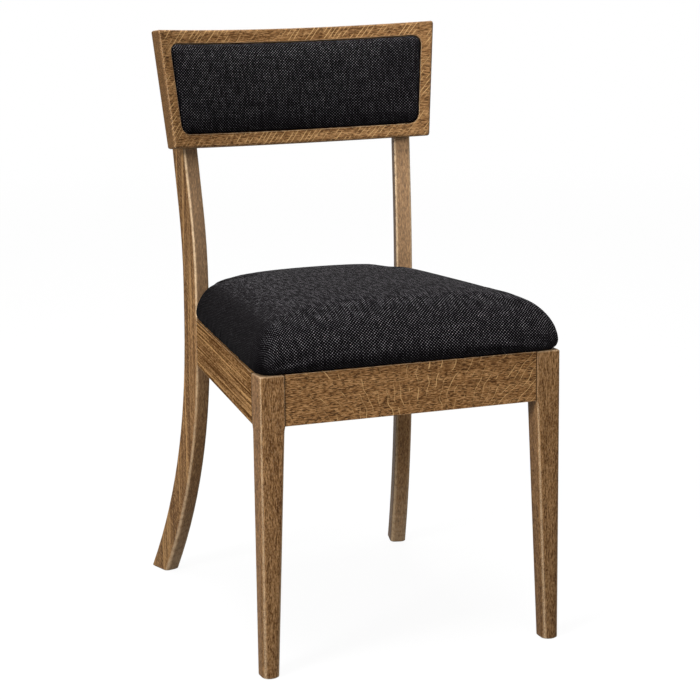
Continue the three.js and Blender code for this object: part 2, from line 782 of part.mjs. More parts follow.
// Seat cushion. Its outline follows the frame, and is notched round the rear legs.

function seatOutline(outside) {
  const sideLine = sideRailStart.clone().addScaledVector(sideRailInward, -outside);
  const legFrontLine = sideRailEnd.clone().addScaledVector(legBackward, -notchGap);
  const legInnerLine = rearLegInnerEdge.clone().addScaledVector(legInward, notchGap);
  const back = plan(0, rearRailBack + outside);
  const across = plan(1, 0);
  const legSide = frameHalfWidth + outside;
  const right = [
    { at: plan(legSide, -outside), radius: seatFrontCorner },
    { at: crossing(sideLine, sideRailRun, plan(legSide, 0), plan(0, 1)), radius: seatFrontCorner },
    { at: crossing(sideLine, sideRailRun, legFrontLine, legInward), radius: seatRearCorner },
    { at: crossing(legFrontLine, legInward, legInnerLine, legBackward), radius: notchCorner },
    { at: crossing(legInnerLine, legBackward, back, across), radius: seatRearCorner },
  ];
  const left = right.map(({ at, radius }) => ({ at: plan(-at.x, at.y), radius })).reverse();
  return subdivided(roundedOutline([...right, ...left], cornerArcSteps), seatPointSpacing);
}

const seatMiddle = plan(0, rearRailBack / 2);
const seatWidestLine = seatOutline(seatOverhang);
const seatHalfDepth = rearRailBack / 2 + seatOverhang;
const seatHalfWidth = (frameHalfWidth + rearHalfWidth) / 2 + seatOverhang;

// The widest line drawn in evenly on all sides
function seatRing(inset) {
  const shrink = plan(1 - inset / seatHalfWidth, 1 - inset / seatHalfDepth);
  return seatWidestLine.map((point) => point.clone().sub(seatMiddle).multiply(shrink).add(seatMiddle));
}

function seatCrownAt({ x, y }) {
  const halfWidth = Math.max(x, -x, sideRailPointAt(Math.max(y, frontLegDepth)).x + seatOverhang);
  const fromTop = y - seatMiddle.y + seatCrownForward;
  const reach = seatHalfDepth + Math.sign(fromTop) * seatCrownForward;
  const fall = (share, power) => 1 - Math.min(1, Math.abs(share)) ** power;
  return seatCrown * fall(x / halfWidth, crownPowers.across) * fall(fromTop / reach, crownPowers.along);
}

function seatRiseAt({ y }) {
  const backShare = (y - seatMiddle.y + seatHalfDepth) / (2 * seatHalfDepth);
  return seatRiseFront + (seatRiseRear - seatRiseFront) * backShare;
}

const seatFoot = frameTop + fitGap;

// The cushion's body, inset evenly from the outer face of its cover, and cut off level at its foot
function seatBody(inset, foot) {
  const widest = seatFoot + seatWidestHeight;
  const drawIn = seatOverhang + seatDrawIn;
  const side = [[drawIn, foot], [0, widest]];
  const inward = Math.min(seatHalfWidth, seatHalfDepth) - seatRoll;
  const roll = seatRollShares.map((share) => seatRoll * share);
  const crown = seatCrownShares.map((share) => seatRoll + inward * share);
  const sideRings = side.map(([drawn, height]) => {
    return seatRing(drawn + inset).map((point) => new THREE.Vector3(point.x, point.y, height));
  });
  const topRings = [...roll, ...crown].map((drawn) => {
    const share = Math.min(1, drawn / seatRoll);
    const rolled = (1 - (1 - share) ** seatRollPower) ** (1 / seatRollPower);
    const down = inset * Math.min(1, 2 * share);
    return seatRing(drawn + inset * (1 - share)).map((point) => {
      const height = widest + seatRiseAt(point) * rolled + seatCrownAt(point) * share - down;
      return new THREE.Vector3(point.x, point.y, height);
    });
  });
  return loft([...sideRings, ...topRings]);
}

const seatBoardBottom = seatFoot + fabricThickness + fitGap;
const seatBoardTop = seatBoardBottom + seatBoardThickness;
const seatBoardLine = seatRing(seatOverhang + seatBoardInset).map((point) => point.toArray());
const hemLine = seatRing(seatOverhang + seatHemWidth).map((point) => point.toArray());
const dustCoverLine = seatRing(seatOverhang + seatHemWidth + fitGap).map((point) => point.toArray());
const seatBoard = prism(seatBoardLine, seatBoardBottom, seatBoardThickness);
add('seat_board', cut(seatBoard, holesFor('seat_board', true)), plywood());
add('seat_foam', seatBody(fabricThickness + fitGap, seatBoardTop + fitGap), foam());
add('seat_cover', cut(seatBody(0, seatFoot), [
  seatBody(fabricThickness, seatFoot + fabricThickness),
  prism(hemLine, seatFoot - overrun, overrun + fabricThickness + fitGap),
]), charcoalFabric());
const dustCover = prism(dustCoverLine, seatBoardBottom - fitGap - dustCoverThickness, dustCoverThickness);
add('seat_dust_cover', cut(dustCover, holesFor('seat_dust_cover', true)), blackCloth());

// Dowels and screws, each side

// The mirror image of a round piece's placement: the same shape turned round its own length
const acrossTheMiddle = new THREE.Matrix4().makeScale(-1, 1, 1);
const otherSide = (placement) => acrossTheMiddle.clone().multiply(placement).multiply(acrossTheMiddle);

rightDowels.forEach(({ name, length, placement }) => {
  add(`${name}_left`, welded(dowelShape(dowelRadius, length)), beech(), otherSide(placement));
  add(`${name}_right`, welded(dowelShape(dowelRadius, length)), beech(), placement);
});
rightScrews.forEach(({ name, size, placement }) => {
  add(`${name}_left`, screwShape(size), steel(), otherSide(placement));
  add(`${name}_right`, screwShape(size), steel(), placement);
});

// The origin goes under the middle of the whole chair, on the floor
const extent = new THREE.Box3().setFromObject(chair);
chair.position.set(0, -(extent.min.y + extent.max.y) / 2, -extent.min.z);

export default chair;
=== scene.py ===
import math

import bmesh
import bpy
import numpy as np
from mathutils import Matrix, Vector
from mathutils.bvhtree import BVHTree
from mathutils.geometry import barycentric_transform


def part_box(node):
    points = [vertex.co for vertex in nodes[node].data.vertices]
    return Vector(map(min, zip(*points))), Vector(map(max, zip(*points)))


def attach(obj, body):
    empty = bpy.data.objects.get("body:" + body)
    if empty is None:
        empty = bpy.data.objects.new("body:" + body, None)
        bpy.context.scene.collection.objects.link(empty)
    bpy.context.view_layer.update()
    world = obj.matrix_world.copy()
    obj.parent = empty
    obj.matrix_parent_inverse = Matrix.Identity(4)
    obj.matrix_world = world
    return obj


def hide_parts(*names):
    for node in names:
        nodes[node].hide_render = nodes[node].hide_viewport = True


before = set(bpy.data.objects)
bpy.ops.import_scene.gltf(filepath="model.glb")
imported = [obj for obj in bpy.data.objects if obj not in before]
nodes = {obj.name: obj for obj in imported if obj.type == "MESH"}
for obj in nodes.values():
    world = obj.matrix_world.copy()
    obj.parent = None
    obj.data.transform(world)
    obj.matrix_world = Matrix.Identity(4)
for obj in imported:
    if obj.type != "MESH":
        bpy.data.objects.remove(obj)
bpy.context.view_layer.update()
scene = bpy.context.scene
MM = 0.001
ACROSS, BACKWARD, UP = (1, 0, 0), (0, 1, 0), (0, 0, 1)

# Sizes of the CAD, in millimetres and radians. Its plan starts at the chair's middle, and at the front
# faces of the front legs, which stand 2 mm before the front rail.
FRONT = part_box("front_rail")[0].y - 2 * MM
HALF_FRONT = 226.5                  # middle to the outer face of a front leg
HALF_REAR = 180.5                   # middle to the outer front edge of a rear leg
DEPTH = 432                         # front of the front legs to the front of the rear legs
LEG_DEPTH = 35                      # of a front leg, and nearly that of a rear one
REAR_LEG_WIDTH = 25.5
REAR_SPLAY = math.radians(15.4)     # how far the rear legs are turned outwards
REAR_RAIL_SETBACK = 12              # rear rail behind the front of the rear legs
RAIL_THICKNESS = 22
REAR_RAIL_BACK = DEPTH + REAR_RAIL_SETBACK + RAIL_THICKNESS
BEND_START, BEND_END = 480, 604     # heights between which the rear legs begin to lean back
CREST_BOTTOM, CREST_HEIGHT, CREST_THICKNESS = 690, 179, 20
CREST_RADIUS = 520                  # of the crest panel's front face
CREST_TILT = math.radians(8.6)
CREST_HALF_LOW, CREST_HALF_HIGH = 214, 231      # half its length, at its lower and at its upper edge
CREST_LET_IN = 1.5                  # how far the rear legs are let into its back
FIELD_MARGIN_UP, FIELD_MARGIN_END = 20.3, 17    # wood left round the field that holds the back pad
FIELD_CORNER, FIELD_DEPTH = 14, 9   # corner radius of that field, and its depth


def add_object(name, data):
    """Puts a new object into the scene."""
    made = bpy.data.objects.new(name, data)
    scene.collection.objects.link(made)
    return made


# Camera, fitted to the photograph
PHOTO = 700                             # its width and height in pixels
FOCAL_PIXELS = 2189.43
CENTRE_PIXELS = (345.216, 317.108)
SENSOR = 36                             # its width in millimetres
AZIMUTH, ELEVATION, TWIST = (math.radians(angle) for angle in (-21.055, 10.849, -0.666))
TARGET = (-22.75, 204.21, 461.5)        # in millimetres, in the CAD's plan
DISTANCE = 3210.85                      # from the target, in millimetres


def make_camera():
    """Stands off from its target at the two angles, and is twisted about its line of sight."""
    data = bpy.data.cameras.new("camera")
    camera = add_object("camera", data)
    back = Vector((
        math.sin(AZIMUTH) * math.cos(ELEVATION),
        -math.cos(AZIMUTH) * math.cos(ELEVATION),
        math.sin(ELEVATION),
    ))
    level = (-back).cross(Vector(UP)).normalized()
    upright = back.cross(level)
    right = math.cos(TWIST) * level + math.sin(TWIST) * upright
    top = -math.sin(TWIST) * level + math.cos(TWIST) * upright
    target = Vector((TARGET[0] * MM, FRONT + TARGET[1] * MM, TARGET[2] * MM))
    pose = Matrix((right, top, back)).transposed().to_4x4()
    pose.translation = target + back * DISTANCE * MM
    camera.matrix_world = pose
    data.sensor_width = SENSOR
    data.lens = FOCAL_PIXELS / PHOTO * SENSOR
    data.shift_x = (PHOTO / 2 - CENTRE_PIXELS[0]) / PHOTO
    data.shift_y = (CENTRE_PIXELS[1] - PHOTO / 2) / PHOTO
    scene.camera = camera


make_camera()


class Graph:
    """Short words for making shader nodes. A value is a number, a tuple or another node's socket."""

    def __init__(self, tree):
        self.tree = tree

    def feed(self, socket, value):
        """Links a socket to a value's own, or sets it to the value. None leaves it as it is."""
        if isinstance(value, bpy.types.NodeSocket):
            self.tree.links.new(value, socket)
        elif value is not None:
            socket.default_value = value

    def add(self, kind, values=(), **settings):
        """A new node with these settings, and with values fed to its inputs."""
        node = self.tree.nodes.new(kind)
        for name, value in settings.items():
            setattr(node, name, value)
        for key, value in dict(values).items():
            self.feed(node.inputs[key], value)
        return node

    def math(self, operation, a, b=None, clamp=False):
        return self.add("ShaderNodeMath", {0: a, 1: b}, operation=operation, use_clamp=clamp).outputs[0]

    def plus(self, a, b):
        return self.math("ADD", a, b)

    def minus(self, a, b):
        return self.math("SUBTRACT", a, b)

    def times(self, a, b, clamp=False):
        return self.math("MULTIPLY", a, b, clamp)

    def over(self, a, b):
        return self.math("DIVIDE", a, b)

    def absolute(self, a):
        return self.math("ABSOLUTE", a)

    def product(self, first, *others):
        for other in others:
            first = self.times(first, other)
        return first

    def dot(self, a, b):
        return self.add("ShaderNodeVectorMath", {0: a, 1: b}, operation="DOT_PRODUCT").outputs["Value"]

    def join(self, *parts):
        """A vector of three parts. A part is a value, or a pair of a value and its factor."""
        parts = [self.times(*part) if isinstance(part, tuple) else part for part in parts]
        return self.add("ShaderNodeCombineXYZ", dict(enumerate(parts))).outputs[0]

    def split(self, vector):
        return self.add("ShaderNodeSeparateXYZ", {0: vector}).outputs

    def place(self):
        """Where a point lies in its object, in metres."""
        return self.add("ShaderNodeTexCoord").outputs["Object"]

    def noise(self, vector, scale=1.0, detail=2.0, roughness=0.5, distortion=0.0):
        return self.add("ShaderNodeTexNoise", {
            "Vector": vector, "Scale": scale, "Detail": detail, "Roughness": roughness,
            "Distortion": distortion,
        }).outputs[0]

    def step(self, value, low, high, bottom=0.0, top=1.0):
        """A soft step: the bottom up to low, the top from high on."""
        return self.add("ShaderNodeMapRange", {
            "Value": value, "From Min": low, "From Max": high, "To Min": bottom, "To Max": top,
        }, interpolation_type="SMOOTHSTEP").outputs[0]

    def mix(self, share, a, b, blend="MIX"):
        """The colour a, and as much of b as the share says."""
        node = self.add("ShaderNodeMix", data_type="RGBA", blend_type=blend)
        self.feed(node.inputs["Factor"], share)
        self.feed(node.inputs[6], a)
        self.feed(node.inputs[7], b)
        return node.outputs[2]

    def tint(self, color, factor):
        """A colour made darker or lighter by a factor that changes from place to place."""
        return self.mix(1.0, color, self.join(factor, factor, factor), "MULTIPLY")

    def ramp(self, share, stops):
        node = self.add("ShaderNodeValToRGB", {"Fac": share})
        while len(node.color_ramp.elements) < len(stops):
            node.color_ramp.elements.new(0.5)
        for element, (place, color) in zip(node.color_ramp.elements, stops):
            element.position = place
            element.color = color
        return node.outputs["Color"]


def linear(*shown):
    """A colour as an image shows it, from 0 to 255, as the shader takes it."""
    return (*(((c / 255 + 0.055) / 1.055) ** 2.4 if c > 10 else c / 255 / 12.92 for c in shown), 1.0)


def group(name, inputs, outputs):
    """A new node group, and the sockets inside it for its inputs and outputs."""
    tree = bpy.data.node_groups.new(name, "ShaderNodeTree")
    for label, kind, value in inputs:
        socket = tree.interface.new_socket(label, in_out="INPUT", socket_type=kind)
        if value is not None:
            socket.default_value = value
    for label, kind in outputs:
        tree.interface.new_socket(label, in_out="OUTPUT", socket_type=kind)
    graph = Graph(tree)
    return graph, graph.add("NodeGroupInput").outputs, graph.add("NodeGroupOutput").inputs


def material(name):
    """A new material, the graph to build it with, and its shader."""
    made = bpy.data.materials.new(name)
    made.use_nodes = True
    tree = made.node_tree
    return made, Graph(tree), tree.nodes["Principled BSDF"]


def surface(g, shader, color, roughness, height, strength, depth, normal=None):
    """Gives a shader its colour, its roughness, and a relief with its strength and depth."""
    g.feed(shader.inputs["Base Color"], color)
    g.feed(shader.inputs["Roughness"], roughness)
    bump = g.add("ShaderNodeBump", {
        "Strength": strength, "Distance": depth, "Height": height, "Normal": normal,
    })
    g.feed(shader.inputs["Normal"], bump.outputs[0])


def softened(g, radius):
    """The surface's direction with its sharp edges rounded, and how near an edge a point is."""
    bevel = g.add("ShaderNodeBevel", {"Radius": radius}, samples=4).outputs[0]
    true = g.add("ShaderNodeNewGeometry").outputs["True Normal"]
    return bevel, g.step(g.dot(bevel, true), 0.98, 0.85)


def grain_ways(along, across):
    """Directions along the grain, across it, and at right angles to both."""
    along, across = Vector(along).normalized(), Vector(across).normalized()
    return [tuple(way) for way in (along, across, along.cross(across))]


# Oak: smoked and oiled. The group takes places in metres, with X along the grain, and the flecks' own
# places, with X along a fleck and Y across them, in lengths of one.

def make_oak_group():
    g, given, out = group("oak grain", [
        ("Grain", "NodeSocketVector", None),
        ("Flecks", "NodeSocketVector", None),
        ("Fleck width", "NodeSocketFloat", 0.1),
        ("Fleck amount", "NodeSocketFloat", 0.5),
        ("Fleck wander", "NodeSocketFloat", 2.0),
        ("Pores", "NodeSocketFloat", 1.0),
        ("Streaks", "NodeSocketFloat", 0.0),
        ("Speckle", "NodeSocketFloat", 0.0),
        ("End grain", "NodeSocketFloat", 0.0),
    ], [("Color", "NodeSocketColor"), ("Roughness", "NodeSocketFloat"), ("Height", "NodeSocketFloat")])
    a, b, c = g.split(given["Grain"])

    def stretched(along, across, detail, roughness=0.55):
        return g.noise(g.join((a, along), (b, across), (c, across)), 1.0, detail, roughness)

    # Yearly rings: broad tones, bands and lines, all drawn out along the grain
    wide = stretched(2.2, 26, 3)
    bands = stretched(6, 140, 3, 0.6)
    lines = stretched(110, 800, 2, 0.65)
    tone = g.plus(g.plus(g.times(wide, 0.17), g.times(bands, 0.18)), g.times(lines, 0.65))
    color = g.ramp(g.step(tone, 0.37, 0.63), [
        (0.0, linear(84, 54, 28)), (0.45, linear(138, 99, 60)), (1.0, linear(178, 137, 92)),
    ])

    # Streaks, fine lines, speckle and pores
    streak = g.noise(g.join((a, 3.5), (b, 300), (c, 25)), 1.0, 2)
    pale = g.times(g.step(streak, 0.53, 0.63, 0.0, 0.85), given["Streaks"])
    deep = g.times(g.step(streak, 0.48, 0.38, 0.0, 0.8), given["Streaks"])
    color = g.mix(deep, g.mix(pale, color, linear(206, 160, 104)), linear(82, 52, 27))
    fine = stretched(120, 1200, 2, 0.6)
    color = g.mix(g.step(fine, 0.5, 0.7, 0.0, 0.45), color, linear(80, 52, 27))
    speckle = stretched(330, 820, 1)
    shine = g.times(g.step(speckle, 0.5, 0.66, 0.0, 0.6), given["Speckle"])
    pits = g.times(g.step(speckle, 0.5, 0.34, 0.0, 0.6), given["Speckle"])
    color = g.mix(pits, g.mix(shine, color, linear(178, 142, 104)), linear(66, 43, 24))
    pores = g.times(g.step(stretched(190, 740, 1, 0.5), 0.53, 0.63), given["Pores"])
    color = g.mix(g.times(pores, 0.8, clamp=True), color, linear(52, 33, 17))

    # Ray flecks: thin pale lines side by side that wander a little and are broken into dashes
    run, side, layer = g.split(given["Flecks"])
    wander = g.noise(g.join((run, 0.8), (side, 0.3), layer), 1.0, 1.0)
    place = g.plus(side, g.times(wander, given["Fleck wander"]))
    off_line = g.absolute(g.minus(g.math("FRACT", place), 0.5))
    curve = g.step(g.over(off_line, given["Fleck width"]), 1.3, 0.5)
    broken = g.noise(g.join(run, (g.math("FLOOR", place), 3.7), layer), 1.3, 1.0)
    dashes = g.times(curve, g.step(broken, 0.42, 0.56))
    where = g.step(g.noise(g.join((a, 9), (b, 20), 2.0), 1.0, 2), 0.3, 0.56)
    fleck = g.times(dashes, g.times(where, given["Fleck amount"]), clamp=True)
    fleck = g.times(fleck, g.minus(1.0, given["End grain"]))
    color = g.mix(fleck, color, linear(208, 168, 114))
    color = g.mix(g.times(given["End grain"], 0.55), color, linear(92, 68, 45))

    g.feed(out["Color"], color)
    rough = g.plus(g.step(lines, 0.3, 0.7, 0.46, 0.58), g.times(pores, 0.2))
    g.feed(out["Roughness"], g.minus(rough, g.times(fleck, 0.06)))
    height = g.minus(g.times(lines, 0.35), g.times(pores, 0.8))
    g.feed(out["Height"], g.minus(height, g.times(fine, 0.25)))
    return g.tree


oak_group = make_oak_group()
FLECK_WIDTH = 0.55     # in millimetres


def oak(name, along, across, offset=0.0, pores=1.0, streaks=0.0, speckle=0.0, bend=0.0, flecks=0.5, turn=0.8,
        fleck=(20, 6.5), wander=2.2, fan=0.0, middle=0.0, seams=(), sides=None, streak_side=None, tone=1.0,
        gloss=1.0):
    """Oak with its grain along one direction, and its yearly rings side by side across it.

    Offset gives a piece wood of its own. Pores, streaks, speckle and flecks say how much of each shows, and
    bend lets the grain follow a bent board. A fleck has a length and a spacing in millimetres, and is turned
    from the grain; wander says how far it strays from a straight line, and fan spreads the flecks about a
    middle height. A seam is a direction and a place on it where the wood meets its neighbour, and a painted
    shadow darkens the wood along it. Tone makes the whole piece darker or lighter, and gloss makes it
    shinier.

    Sides are the directions of a leg's faces: between them its rounded edges are rubbed paler and carry a
    painted highlight, and its foot is darker. The streak side of a rear leg looks to the chair's middle. Only
    the faces that look that way, or away from it, show the streaks, and the others get a paler painted sheen.
    The face towards the middle gets painted shade, and the leg below the seat gets painted light and less of
    the rubbed edge with its painted highlight.
    """
    made, g, shader = material(name)
    place = g.place()
    ways = grain_ways(along, across)
    a, b, c = (g.dot(place, way) for way in ways)
    if bend:
        c = g.plus(c, g.times(g.times(a, a), bend))
    geometry = g.add("ShaderNodeNewGeometry").outputs
    if streak_side:
        faced = g.absolute(g.dot(geometry["Normal"], streak_side))
        streaks = g.step(faced, 0.5, 0.9, 0.1, streaks)
        flecks = g.step(faced, 0.6, 0.9, 0.0, flecks)
        b = g.times(b, g.step(faced, 0.45, 0.8))
    grain = g.join(g.plus(a, offset), g.plus(b, offset * 0.7), c)
    end = g.step(g.absolute(g.dot(geometry["True Normal"], ways[0])), 0.7, 0.85)
    height = g.minus(b, middle)
    spread = g.times(a, g.math("EXPONENT", g.times(height, -fan))) if fan else a
    run = g.plus(g.times(spread, math.cos(turn)), g.times(height, math.sin(turn)))
    side = g.minus(g.times(height, math.cos(turn)), g.times(spread, math.sin(turn)))
    length, spacing = fleck
    flecks_at = g.join(g.over(run, length * MM), g.over(side, spacing * MM), g.plus(g.times(c, 12), offset))
    wood = g.add("ShaderNodeGroup", {
        "Grain": grain, "Flecks": flecks_at, "Fleck width": FLECK_WIDTH / spacing, "Fleck amount": flecks,
        "Fleck wander": wander, "Pores": pores, "Streaks": streaks, "Speckle": speckle, "End grain": end,
    }, node_tree=oak_group).outputs

    color = g.mix(1.0, wood["Color"], (tone, tone, tone, 1), "MULTIPLY")
    above = g.split(place)[2]
    if streak_side:
        # Painted sheen: faces of a rear leg that look neither to the middle nor away from it are paler, less
        # so below the seat
        painted_sheen = g.times(g.step(faced, 0.8, 0.45, 0.0, 0.18), g.step(above, 0.25, 0.45, 0.25, 1.0))
        color = g.mix(painted_sheen, color, linear(190, 168, 142))
        # Painted shade: the face of a rear leg towards the chair's middle is darker
        color = g.tint(color, g.step(g.dot(geometry["Normal"], streak_side), 0.3, 0.8, 1.0, 0.42))
    normal, edge = softened(g, (3.5 if sides else 1.4) * MM)
    if sides:
        # Darker towards the foot; on a rear leg, painted light also makes the part below the seat lighter
        foot_and_painted_light = g.step(above, 0.0, 0.3, 0.78, 1.0)
        if streak_side:
            foot_and_painted_light = g.times(foot_and_painted_light, g.step(above, 0.4, 0.5, 1.25, 1.0))
        color = g.tint(color, foot_and_painted_light)
        squares = [g.absolute(g.dot(normal, way)) for way in sides]
        edge = g.step(g.math("MAXIMUM", *squares), *((0.97, 0.8) if streak_side else (0.86, 0.73)))
    # Edges are rubbed paler: wear, and a painted highlight along them, with less of it on faces that look up
    worn_and_highlight = g.times(edge, g.step(g.noise(place, 160, 3), 0.25, 0.6, 0.45, 1.0))
    worn_and_highlight = g.times(worn_and_highlight, g.step(g.dot(geometry["Normal"], UP), 0.3, 0.9, 1.0, 0.3))
    # Rear legs: less of the rubbed edge and its painted highlight below the seat
    if streak_side:
        worn_and_highlight = g.times(worn_and_highlight, g.step(above, 0.25, 0.5, 0.55, 1.0))
    color = g.mix(worn_and_highlight, color, linear(228, 198, 160))
    # Painted shadow: the wood darkens along each seam, where it meets its neighbour
    for way, at in seams:
        away = g.absolute(g.minus(g.dot(place, way), at))
        color = g.mix(g.step(away, 1.5 * MM, 0.6 * MM, 0.0, 0.85), color, linear(34, 22, 13))

    surface(g, shader, color, wood["Roughness"], wood["Height"], strength=0.4, depth=0.5 * MM,
            normal=normal)
    shader.inputs["Specular IOR Level"].default_value = 0.04 * gloss
    shader.inputs["Coat Weight"].default_value = 0.03 * gloss
    shader.inputs["Coat Roughness"].default_value = 0.3
    return made


def plain_wood(name, along, across, scale=1.0):
    """Hidden wood: beech with its short dark rays."""
    made, g, shader = material(name)
    place = g.place()
    a, b, c = (g.dot(place, way) for way in grain_ways(along, across))
    grain = g.noise(g.join((a, 8 * scale), (b, 210 * scale), (c, 210 * scale)), 1.0, 4, 0.6)
    rays = g.noise(g.join((a, 300), (b, 1500), (c, 1500)), 1.0, 1)
    color = g.ramp(g.step(grain, 0.3, 0.7), [(0.0, linear(182, 143, 98)), (1.0, linear(214, 178, 132))])
    color = g.mix(g.step(rays, 0.6, 0.7, 0.0, 0.5), color, linear(134, 96, 60))
    normal, _ = softened(g, 0.8 * MM)
    surface(g, shader, color, g.step(grain, 0.2, 0.8, 0.55, 0.75), grain, strength=0.3, depth=0.3 * MM,
            normal=normal)
    return made


def plywood():
    """Plywood whose plies, 3 mm thick, show at its edges."""
    made, g, shader = material("plywood")
    x, y, z = g.split(g.place())
    plies = g.math("FRACT", g.times(z, 1 / (3 * MM)))
    face = g.noise(g.join((x, 9), (y, 160), (z, 900)), 1.0, 4)
    color = g.ramp(g.step(face, 0.3, 0.7), [(0.0, linear(172, 134, 92)), (1.0, linear(206, 172, 126))])
    color = g.mix(g.step(plies, 0.46, 0.54, 0.0, 0.4), color, linear(130, 92, 58))
    surface(g, shader, color, g.step(face, 0.3, 0.7, 0.6, 0.8), face, strength=0.3, depth=0.3 * MM)
    return made


def steel():
    """Zinc-plated steel with faint stains and fine marks."""
    made, g, shader = material("zinc plated steel")
    place = g.place()
    stains = g.noise(place, 320, 4, 0.6)
    marks = g.noise(place, 2600, 2)
    color = g.ramp(g.step(stains, 0.3, 0.7), [
        (0.0, linear(150, 148, 136)), (0.6, linear(186, 186, 182)), (1.0, linear(208, 206, 190)),
    ])
    normal, _ = softened(g, 0.3 * MM)
    surface(g, shader, color, g.step(stains, 0.3, 0.7, 0.45, 0.26), marks, strength=0.15,
            depth=0.05 * MM, normal=normal)
    shader.inputs["Metallic"].default_value = 1.0
    return made


def dust_cloth():
    """Thin bonded cloth under the seat, with its pressed dots 1.6 mm apart."""
    made, g, shader = material("dust cloth")
    place = g.place()
    x, y, _ = g.split(place)
    dots_a_metre = 1 / (1.6 * MM)
    waves = [g.math("SINE", g.times(way, math.pi * dots_a_metre)) for way in (g.plus(x, y), g.minus(x, y))]
    pressed = g.step(g.times(*waves), 0.35, 0.7)
    fibres = g.noise(place, 700, 4, 0.7, 1.5)
    color = g.mix(g.step(fibres, 0.35, 0.65), linear(20, 20, 21), linear(44, 44, 46))
    color = g.mix(g.times(pressed, 0.6), color, linear(12, 12, 13))
    height = g.minus(g.times(fibres, 0.5), pressed)
    surface(g, shader, color, g.step(fibres, 0.3, 0.7, 0.95, 0.75), height, strength=0.4, depth=0.15 * MM)
    return made


def fabric():
    """Charcoal plain weave: grey threads show as dots between black ones.

    It reads each piece's own cloth places, in metres. The threads wander a little, have thick and thin
    lengths, and run together here and there into dashes. How much grey shows also hangs on where the cloth
    looks, as painted light and shade: more above and on the right, less below, behind and on the left.
    """
    made, g, shader = material("charcoal weave")
    place = g.add("ShaderNodeAttribute", attribute_name="cloth").outputs["Vector"]
    rightward, backward, upward = g.split(g.add("ShaderNodeNewGeometry").outputs["Normal"])
    weft_pitch, warp_pitch = 2.36 * MM, 2.24 * MM
    u, v, _ = g.split(place)
    drift = g.times(g.minus(g.noise(place, 25, 2), 0.5), 1.2)
    u = g.plus(g.over(u, weft_pitch), drift)
    v = g.minus(g.over(v, warp_pitch), drift)
    weave_at = g.times(g.math("SINE", g.times(u, math.pi)), g.math("SINE", g.times(v, math.pi)))
    grey_over = g.step(weave_at, 0.47, 1.0)
    black_over = g.step(weave_at, -0.2, -0.9)

    cell = g.join(g.math("FLOOR", u), g.math("FLOOR", v), 0.0)
    chance = g.add("ShaderNodeTexWhiteNoise", {"Vector": cell}, noise_dimensions="3D").outputs[0]
    slub_u = g.noise(g.join((u, 0.45), (v, 0.03), 3.0), 1.0, 2)
    slub_v = g.noise(g.join((u, 0.03), (v, 0.45), 7.0), 1.0, 2)
    dash = g.noise(g.join((u, 0.7), (v, 0.12), 11.0), 1.0, 1)
    uneven = g.times(g.step(dash, 0.38, 0.62, -1.0, 1.0), g.step(upward, 0.75, 0.97, 0.4, 0.7))
    threads_and_painted_light = g.product(
        g.step(slub_u, 0.3, 0.7, 0.65, 1.0),
        g.step(slub_v, 0.3, 0.7, 0.65, 1.0),
        g.plus(g.times(chance, 0.4), 0.5),
        g.plus(uneven, 1.0),
        # Painted light and shade by the way the cloth faces: lighter above and on the right, darker below, on
        # the left and behind
        g.step(upward, -0.1, 0.4, 0.37, 0.89),
        g.step(rightward, -0.15, -0.8, 1.0, 0.22),
        g.step(rightward, 0.0, 0.5, 1.0, 1.3),
        g.step(backward, -0.05, 0.25, 1.0, 0.82),
    )
    color = g.mix(g.times(grey_over, threads_and_painted_light), linear(3, 2, 3), linear(180, 175, 180))
    color = g.mix(g.times(black_over, 0.7), color, linear(6, 6, 8))

    fuzz = g.noise(place, 2500, 2)
    height = g.plus(g.absolute(weave_at), g.times(fuzz, 0.25))
    surface(g, shader, color, g.step(grey_over, 0.0, 1.0, 0.95, 0.8), height, strength=0.5, depth=0.4 * MM)
    shader.inputs["Specular IOR Level"].default_value = 0.03
    return made


def dress(names, finish):
    """Gives the named nodes one material."""
    for name in names:
        slots = nodes[name].data.materials
        slots.clear()
        slots.append(finish)


def dress_frame():
    """The frame's oak, which runs along each piece."""
    for i, side in enumerate(("left", "right")):
        out = -1 if side == "left" else 1
        # The left and right legs get different tones: painted shade that matches how the light falls on each
        # side
        dress([f"front_leg_{side}"], oak(
            f"oak front leg {side}", UP, ACROSS, 0.4 + i, pores=0.4, speckle=0.75, flecks=0.0,
            sides=(ACROSS, BACKWARD), tone=0.97 if out < 0 else 0.86))
        leg_in = (-out * math.cos(REAR_SPLAY), math.sin(REAR_SPLAY), 0)
        leg_back = (out * math.sin(REAR_SPLAY), math.cos(REAR_SPLAY), 0)
        dress([f"rear_leg_{side}"], oak(
            f"oak rear leg {side}", (0, 0.16, 1), leg_back, 2.6 + i, pores=0.4, streaks=0.9, speckle=0.5,
            flecks=0.35, turn=0.75, fleck=(12, 5), sides=(leg_in, leg_back), streak_side=leg_in,
            tone=0.79 if out < 0 else 0.95))
        dress([f"side_rail_{side}"], oak(
            f"oak side rail {side}", (-0.115 * out, 0.993, 0), UP, 5.3 + i, pores=0.6, streaks=1.0,
            flecks=0.0, gloss=0.0, seams=[(BACKWARD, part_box(f"side_rail_{side}")[0].y)]))
    low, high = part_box("front_rail")
    dress(["front_rail"], oak(
        "oak front rail", ACROSS, UP, 8.2, flecks=0.8, turn=math.pi / 2, fleck=(24, 13), fan=5.3, tone=1.12,
        middle=(low.z + high.z) / 2, seams=[(ACROSS, low.x), (ACROSS, high.x)]))
    dress(["rear_rail"], oak("oak rear rail", ACROSS, UP, 9.7, flecks=0.4, turn=1.0))
    crest_up = (0, math.sin(CREST_TILT), math.cos(CREST_TILT))
    dress(["crest_panel"], oak(
        "oak crest panel", ACROSS, crest_up, 11.1, pores=0.9, bend=-1 / (2 * CREST_RADIUS * MM),
        flecks=0.9, turn=0.88, fleck=(30, 5.6), wander=0.9, tone=0.84))


